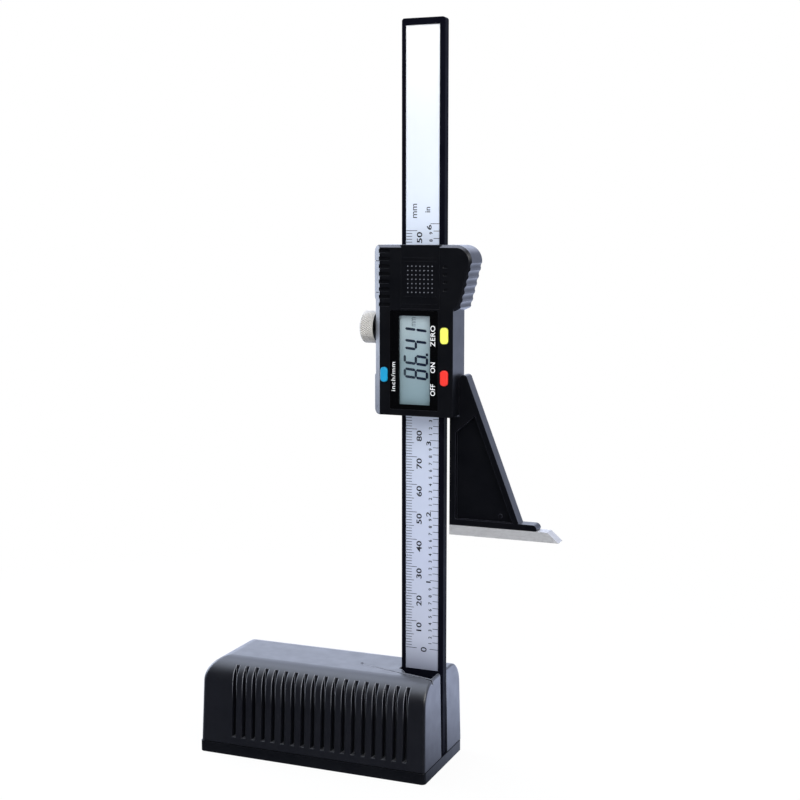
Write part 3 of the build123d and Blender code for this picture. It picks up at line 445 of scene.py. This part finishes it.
def add_box(work, low, high):
    size = Vector(high) - Vector(low)
    middle = (Vector(high) + Vector(low)) / 2
    matrix = Matrix.Translation(middle) @ Matrix.Diagonal((*size, 1))
    bmesh.ops.create_cube(work, size=1, matrix=matrix)


def add_plate(work, outline, y_back, thickness):
    """A thin plate whose outline is a list of (x, z) points, standing in front of y_back."""
    back = [work.verts.new((x, y_back, z)) for x, z in outline]
    front = [work.verts.new((x, y_back - thickness, z)) for x, z in outline]
    count = len(outline)
    work.faces.new(back)
    work.faces.new(front[::-1])
    for i in range(count):
        j = (i + 1) % count
        work.faces.new((back[i], front[i], front[j], back[j]))


CAP_HEIGHT = 0.729           # of a capital or a figure in Blender's own font, at size 1
WORD_EXTRUDE = 0.01          # half the words' thickness before they are scaled


def add_words(work, words, height, x_base, z_end, y_back, wide=1.0, bold=0.0, gap=1.0):
    """Words that read upwards: their feet lie along x_base, and they end at z_end."""
    curve = bpy.data.curves.new("words", "FONT")
    curve.body = words
    curve.offset = bold
    curve.space_character = gap
    curve.extrude = WORD_EXTRUDE
    curve.resolution_u = 3
    source = bpy.data.objects.new("words", curve)
    scene.collection.objects.link(source)
    bpy.context.view_layer.update()
    flat = bpy.data.meshes.new_from_object(source.evaluated_get(bpy.context.evaluated_depsgraph_get()))
    bpy.data.objects.remove(source)
    left = min(v.co.x for v in flat.vertices)
    right = max(v.co.x for v in flat.vertices)
    capitals = words.isdigit() or words.isupper()
    scale = height / (CAP_HEIGHT if capitals else max(v.co.y for v in flat.vertices))
    start = z_end - (right - left) * scale * wide
    for v in flat.vertices:
        run = (v.co.x - left) * scale * wide
        depth = INK * (0.5 + v.co.z / (2 * WORD_EXTRUDE))
        v.co = Vector((x_base - v.co.y * scale, y_back - depth, start + run))
    work.from_mesh(flat)
    bpy.data.meshes.remove(flat)


# ---- scale ----------------------------------------------------------------------------------
MM_TICKS = {1: 2.2 * MM, 5: 3.0 * MM, 10: 4.1 * MM}
INCH_TICKS = {1: 2.1 * MM, 10: 3.2 * MM}
TICK_MARGIN = 0.1 * MM


def build_ticks(work):
    left = label_low.x + TICK_MARGIN
    right = label_high.x - TICK_MARGIN
    front = label_front - INK
    for i in range(SCALE_MM + 1):
        step = 10 if i % 10 == 0 else 5 if i % 5 == 0 else 1
        z = scale_zero + i * MM
        add_box(work, (left, front, z - TICK / 2), (left + MM_TICKS[step], label_front, z + TICK / 2))
    for i in range(SCALE_TENTHS + 1):
        step = 10 if i % 10 == 0 else 1
        z = scale_zero + i * INCH / 10
        add_box(work, (right - INCH_TICKS[step], front, z - INCH_TICK / 2),
                (right, label_front, z + INCH_TICK / 2))


# words on the film: height, feet from the film's left edge, end past their mark, width and boldness
CM_FIGURE = (2.0 * MM, 6.0 * MM, -0.45 * MM, 1.46, 0.018)
ZERO_FIGURE = (2.3 * MM, 8.0 * MM, 0.6 * MM, 1.25, 0.012)
INCH_FIGURE = (1.75 * MM, 9.5 * MM, -0.35 * MM, 1.6, 0.02)
TENTH_FIGURE = (1.2 * MM, 9.9 * MM, -0.3 * MM, 1.1, 0.02)
MM_LABEL = (1.5 * MM, 4.1 * MM, 159.3 * MM, 1.05, 0.004)
INCH_LABEL = (1.8 * MM, 9.0 * MM, 158.2 * MM, 1.1, 0.012)


def add_figure(work, words, mark, style):
    """Words on the film, set from a mark's height on the scale."""
    height, foot, past, wide, bold = style
    add_words(work, words, height, label_low.x + foot, mark + past, label_front, wide, bold)


def build_numbers(work):
    for i in range(10, SCALE_MM + 1, 10):
        add_figure(work, str(i), scale_zero + i * MM, CM_FIGURE)
    add_figure(work, "0", scale_zero, ZERO_FIGURE)
    for i in range(1, SCALE_TENTHS + 1):
        whole, tenth = divmod(i, 10)
        words, style = (str(tenth), TENTH_FIGURE) if tenth else (str(whole), INCH_FIGURE)
        add_figure(work, words, scale_zero + i * INCH / 10, style)
    add_figure(work, "mm", scale_zero, MM_LABEL)
    add_figure(work, "in", scale_zero, INCH_LABEL)


# ---- display --------------------------------------------------------------------------------
lcd_x = (lcd_low.x + lcd_high.x) / 2 - LCD_SHIFT
lcd_z = (lcd_low.z + lcd_high.z) / 2
view_low = (lcd_x - LCD_VIEW[0] / 2, lcd_z - LCD_VIEW[1] / 2)
view_high = (lcd_x + LCD_VIEW[0] / 2, lcd_z + LCD_VIEW[1] / 2)
digit_foot = view_high[0] - DIGIT_MARGIN
SEGMENTS = {"1": "bc", "4": "bcfg", "6": "acdefg", "8": "abcdefg"}
CELLS = [("8", 8.4 * MM), ("6", 13.3 * MM), ("4", 18.4 * MM), ("1", 22.5 * MM)]
POINT_AT = 17.5 * MM

# the unit mark on the display: height, feet from the digits' feet, end above the opening's foot, width
UNIT_HEIGHT, UNIT_FOOT, UNIT_END, UNIT_WIDE = 1.5 * MM, 4.7 * MM, 30.4 * MM, 0.66


def segment_outline(name):
    """A segment's six corners in the digit's own right-and-up frame."""
    w, h, t, gap = DIGIT_WIDTH, DIGIT_HEIGHT, SEGMENT, SEGMENT_GAP
    middle = h / 2
    level = {"a": h - t / 2, "g": middle, "d": t / 2}
    if name in level:
        y = level[name]
        x0, x1 = t / 2 + gap, w - t / 2 - gap
        return [(x0, y), (x0 + t / 2, y + t / 2), (x1 - t / 2, y + t / 2), (x1, y),
                (x1 - t / 2, y - t / 2), (x0 + t / 2, y - t / 2)]
    x = t / 2 if name in "ef" else w - t / 2
    y0, y1 = (middle, h - t / 2) if name in "bf" else (t / 2, middle)
    y0, y1 = y0 + gap, y1 - gap
    return [(x, y0), (x + t / 2, y0 + t / 2), (x + t / 2, y1 - t / 2), (x, y1),
            (x - t / 2, y1 - t / 2), (x - t / 2, y0 + t / 2)]


def build_digits(work):
    back = lcd_low.y
    for digit, start in CELLS:
        for name in SEGMENTS[digit]:
            turned = [(digit_foot - up, view_low[1] + start + right + SLANT * up)
                      for right, up in segment_outline(name)]
            add_plate(work, turned, back, INK)
    half = SEGMENT / 2
    z = view_low[1] + POINT_AT
    add_box(work, (digit_foot - SEGMENT, back - INK, z - half), (digit_foot, back, z + half))


def build_units(work):
    add_words(work, "mm", UNIT_HEIGHT, digit_foot - UNIT_FOOT, view_low[1] + UNIT_END, lcd_low.y, UNIT_WIDE)


def rounded_corner(x, z, turn, radius, steps=5):
    """Points of a quarter circle whose middle is (x, z), starting at an angle of turn degrees."""
    angles = [math.radians(turn + 90 * i / steps) for i in range(steps + 1)]
    return [(x + radius * math.cos(a), z + radius * math.sin(a)) for a in angles]

def rounded_rectangle(low, high, radius):
    """Points round a rectangle between two (x, z) corners, starting at its upper right."""
    (x0, z0), (x1, z1) = low, high
    middles = [(x1 - radius, z1 - radius), (x0 + radius, z1 - radius),
               (x0 + radius, z0 + radius), (x1 - radius, z0 + radius)]
    return [point for i, (x, z) in enumerate(middles) for point in rounded_corner(x, z, 90 * i, radius)]


def build_window_border(work):
    """Black border of the window, with an opening over the display."""
    y0 = window_low.y
    y1 = y0 + BORDER_DEPTH
    outer = rounded_rectangle((window_low.x, window_low.z), (window_high.x, window_high.z), BORDER_CORNER)
    inner = rounded_rectangle(view_low, view_high, OPENING_CORNER)
    rings = [[work.verts.new((x, y, z)) for x, z in loop] for loop, y in
             ((outer, y0), (inner, y0), (inner, y1), (outer, y1))]
    count = len(outer)
    for a, b in zip(rings, rings[1:] + rings[:1]):
        for i in range(count):
            j = (i + 1) % count
            work.faces.new((a[i], a[j], b[j], b[i]))


def build_window_pane(work):
    """Clear pane behind the border."""
    add_box(work, (window_low.x, window_low.y + BORDER_DEPTH, window_low.z), tuple(window_high))


def build_legends(work):
    """Words beside the buttons, on the window's face."""
    left = window_low.x + LEGEND_LEFT
    right = window_high.x - LEGEND_RIGHT
    for words, height, foot, end, wide, bold, gap in (
            ("inch/mm", 1.50 * MM, left, 16.5 * MM, 1.26, 0.0, 1.12),
            ("ZERO", 1.82 * MM, right, 29.6 * MM, 1.12, 0.003, 1.05),
            ("ON", 1.82 * MM, right, 16.85 * MM, 0.98, 0.003, 1.0),
            ("OFF", 1.82 * MM, right, 9.3 * MM, 0.97, 0.003, 1.0)):
        add_words(work, words, height, foot, window_low.z + end, window_low.y, wide, bold, gap)


# ---- knob -----------------------------------------------------------------------------------
SMOOTH, KNURLED, SHADED_END = 0, 1, 2


def knob_profile(radius, length):
    """Half outline of the knob, outer end first, as (x, r, kind)."""
    outer = [(0.0, share * radius, SMOOTH) for share in (0.4, 0.62)] + [(0.0, radius - KNOB_EDGE, SMOOTH)]
    side = [(KNOB_EDGE + (length - 2 * KNOB_EDGE) * i / KNOB_STEPS, radius, KNURLED)
            for i in range(KNOB_STEPS + 1)]
    # The inner end steps take the dark material: painted shade where they face the head.
    collar = [(length + past, share * radius, SHADED_END) for past, share in (
        (0.0, 0.93), (0.25 * MM, 0.90), (0.25 * MM, 0.60), (0.6 * MM, 0.56), (0.6 * MM, 0.25))]
    return outer + side + [(length, radius - KNOB_EDGE, SMOOTH)] + collar


def knurl(x, angle):
    """Depth of the diamond knurl, from 0 on a peak to 1 in a valley."""
    twist = x / KNURL_RUN * math.tau / KNURLS * KNURL_TURN
    one = abs(math.sin((angle + twist) * KNURLS / 2))
    two = abs(math.sin((angle - twist) * KNURLS / 2))
    return 1 - min(one, two)


def build_knob(work):
    radius = (knob_high.z - knob_low.z) / 2
    around = KNURLS * 8
    rings = []
    for x, r, kind in knob_profile(radius, KNOB_LENGTH):
        ring = []
        for i in range(around):
            angle = math.tau * i / around
            reach = r - (KNURL_DEPTH * knurl(x, angle) if kind == KNURLED else 0.0)
            ring.append(work.verts.new((knob_low.x + x, knob_axis.y + reach * math.cos(angle),
                                        knob_axis.z + reach * math.sin(angle))))
        rings.append((ring, kind))
    for (a, _), (b, kind) in zip(rings, rings[1:]):
        for i in range(around):
            j = (i + 1) % around
            work.faces.new((a[i], a[j], b[j], b[i])).material_index = int(kind == SHADED_END)
    work.faces.new(rings[0][0])
    work.faces.new(rings[-1][0][::-1]).material_index = 1
    length = knob_high.x - knob_low.x - KNOB_LENGTH - STEM_GAP
    middle = Matrix.Translation((knob_high.x - STEM_GAP - length / 2, knob_axis.y, knob_axis.z))
    bmesh.ops.create_cone(work, cap_ends=True, segments=40, radius1=STEM_RADIUS, radius2=STEM_RADIUS,
                          depth=length, matrix=middle @ Matrix.Rotation(math.pi / 2, 4, "Y"))


new_object("scale_ticks", build_ticks, ink, "base")
new_object("scale_numbers", build_numbers, ink, "base")
new_object("lcd_digits", build_digits, lcd_ink, "head")
new_object("lcd_units", build_units, lcd_faint, "head")
border = new_object("window_border", build_window_border, window_black, "head")
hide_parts("display_window")
new_object("window_pane", build_window_pane, glass, "head")
new_object("window_legends", build_legends, white_ink, "head")
knob = new_object("knurled_knob", build_knob, knob_steel, "lock_knob")
# Second material: painted shade on the knob's inner end.
knob.data.materials.append(knob_end_shade)
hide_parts("lock_screw")

# ---- floor, light and camera ----------------------------------------------------------------
# The camera sees a white room. Reflections see one that is dark on the reader's side and, behind the
# object, brighter and bluer than that white: up to 2.6 on the floor and 1.25 in the world. That is more
# than the plain level of 1 of the white that the camera sees.
WHITE = (1.0, 1.0, 1.0)
COOL = (0.76, 0.84, 1.0)

FLOOR_SIZE = 6.0
FLOOR_COLOR = (0.88, 0.88, 0.88)
SHADE_REACH = (0.10, 0.34)        # distances over which the floor's own shading fades out
SHADE_WHITE = (0.93, 1.0)         # share of plain white that covers it, near and far
FLOOR_GLOSS_Y = (-0.025, 0.09)    # Y places between which reflections of the floor brighten
FLOOR_GLOSS = (0.04, 1.3)
FLOOR_NEAR = (0.25, 0.9)          # distances over which their extra strength falls off
FLOOR_NEAR_GAIN = (2.0, 1.0)
FLOOR_GLOSS_TINT = (0.66, 0.74, 1.0)

WORLD_LEVEL = 0.42
WORLD_GLOSS_Y = (-0.45, 0.25)     # Y directions between which reflections of the world brighten
WORLD_GLOSS = (0.03, 1.25)
WORLD_GLOSS_TINT = (0.68, 0.75, 1.0)


def floor_material():
    """White with a faint shadow near the object to the camera, and graded and tinted to glossy rays."""
    material = bpy.data.materials.new("floor_white")
    material.use_nodes = True
    tree = material.node_tree
    tree.nodes.clear()
    new = tree.nodes.new
    link = tree.links.new
    path = new("ShaderNodeLightPath").outputs
    place = object_place(tree)
    length = new("ShaderNodeVectorMath")
    length.operation = "LENGTH"
    link(place, length.inputs[0])
    distance = length.outputs["Value"]
    white = mapped(tree, distance, *SHADE_REACH, *SHADE_WHITE)
    seen = combined(tree, "MULTIPLY", path["Is Camera Ray"], white)
    share = combined(tree, "MAXIMUM", seen, path["Is Glossy Ray"])
    room = mapped(tree, along(tree, place, "Y"), *FLOOR_GLOSS_Y, *FLOOR_GLOSS)
    gain = mapped(tree, distance, *FLOOR_NEAR, *FLOOR_NEAR_GAIN)
    strength = mixed(tree, "FLOAT", path["Is Glossy Ray"], 1.0, combined(tree, "MULTIPLY", room, gain))
    hue = mixed(tree, "RGBA", path["Is Glossy Ray"], (*WHITE, 1), (*FLOOR_GLOSS_TINT, 1))
    glow = new("ShaderNodeEmission")
    link(strength, glow.inputs["Strength"])
    link(hue, glow.inputs["Color"])
    diffuse = new("ShaderNodeBsdfDiffuse")
    diffuse.inputs["Color"].default_value = (*FLOOR_COLOR, 1)
    mix = new("ShaderNodeMixShader")
    link(share, mix.inputs["Fac"])
    link(diffuse.outputs[0], mix.inputs[1])
    link(glow.outputs[0], mix.inputs[2])
    link(mix.outputs[0], new("ShaderNodeOutputMaterial").inputs["Surface"])
    return material


floor_mesh = bpy.data.meshes.new("floor")
half = FLOOR_SIZE / 2
corners = [(-half, -half, 0), (half, -half, 0), (half, half, 0), (-half, half, 0)]
floor_mesh.from_pydata(corners, [], [(0, 1, 2, 3)])
floor = bpy.data.objects.new("floor", floor_mesh)
scene.collection.objects.link(floor)
floor.data.materials.append(floor_material())


def world_light():
    """White to camera and transmission rays, even for diffuse light, and graded and tinted to glossy rays."""
    world = bpy.data.worlds.new("studio")
    scene.world = world
    world.use_nodes = True
    tree = world.node_tree
    back = tree.nodes["Background"]
    path = tree.nodes.new("ShaderNodeLightPath").outputs
    direction = tree.nodes.new("ShaderNodeTexCoord").outputs["Generated"]
    room = mapped(tree, along(tree, direction, "Y"), *WORLD_GLOSS_Y, *WORLD_GLOSS)
    level = mixed(tree, "FLOAT", path["Is Glossy Ray"], WORLD_LEVEL, room)
    clear = combined(tree, "MAXIMUM", path["Is Camera Ray"], path["Is Transmission Ray"])
    hue = mixed(tree, "RGBA", path["Is Glossy Ray"], (*WHITE, 1), (*WORLD_GLOSS_TINT, 1))
    tree.links.new(mixed(tree, "FLOAT", clear, level, 1.0), back.inputs["Strength"])
    tree.links.new(hue, back.inputs["Color"])


TARGET = Vector((0.03, 0.0, 0.12))


def softbox(name, place, size, power, color=WHITE):
    lamp = bpy.data.lights.new(name, "AREA")
    lamp.shape = "SQUARE"
    lamp.size = size
    lamp.energy = power
    lamp.color = color
    thing = bpy.data.objects.new(name, lamp)
    scene.collection.objects.link(thing)
    thing.location = place
    thing.rotation_mode = "QUATERNION"
    thing.rotation_quaternion = (TARGET - Vector(place)).to_track_quat("-Z", "Y")
    thing.visible_camera = False


world_light()
softbox("key_light", (0.33, -0.75, 0.87), 0.8, 6.3)
softbox("fill_light", (0.70, -0.45, 0.50), 0.36, 2.6)
softbox("left_light", (-0.65, 0.20, 0.30), 0.5, 4.0, COOL)
softbox("top_light", (-0.25, -0.08, 1.0), 0.95, 4.4, COOL)
softbox("rear_light", (-0.42, 1.05, 0.45), 0.9, 2.8, COOL)

CAMERA_PLACE = Vector((0.217333, -0.465920, 0.195321))
CAMERA_RIGHT = Vector((0.9264, 0.3766, 0.0))
CAMERA_UP = Vector((-0.0461, 0.1134, 0.9925))
CAMERA_BACK = Vector((0.3738, -0.9194, 0.1224))
FOCAL_SHARE = 1424 / 800     # focal length over the picture's width
SENSOR = 36

camera_data = bpy.data.cameras.new("camera")
camera_data.sensor_width = SENSOR
camera_data.lens = SENSOR * FOCAL_SHARE
camera = bpy.data.objects.new("camera", camera_data)
scene.collection.objects.link(camera)
camera.matrix_world = Matrix.Translation(CAMERA_PLACE) @ Matrix(
    (CAMERA_RIGHT, CAMERA_UP, CAMERA_BACK)).transposed().to_4x4()
scene.camera = camera
scene.view_settings.view_transform = "Standard"
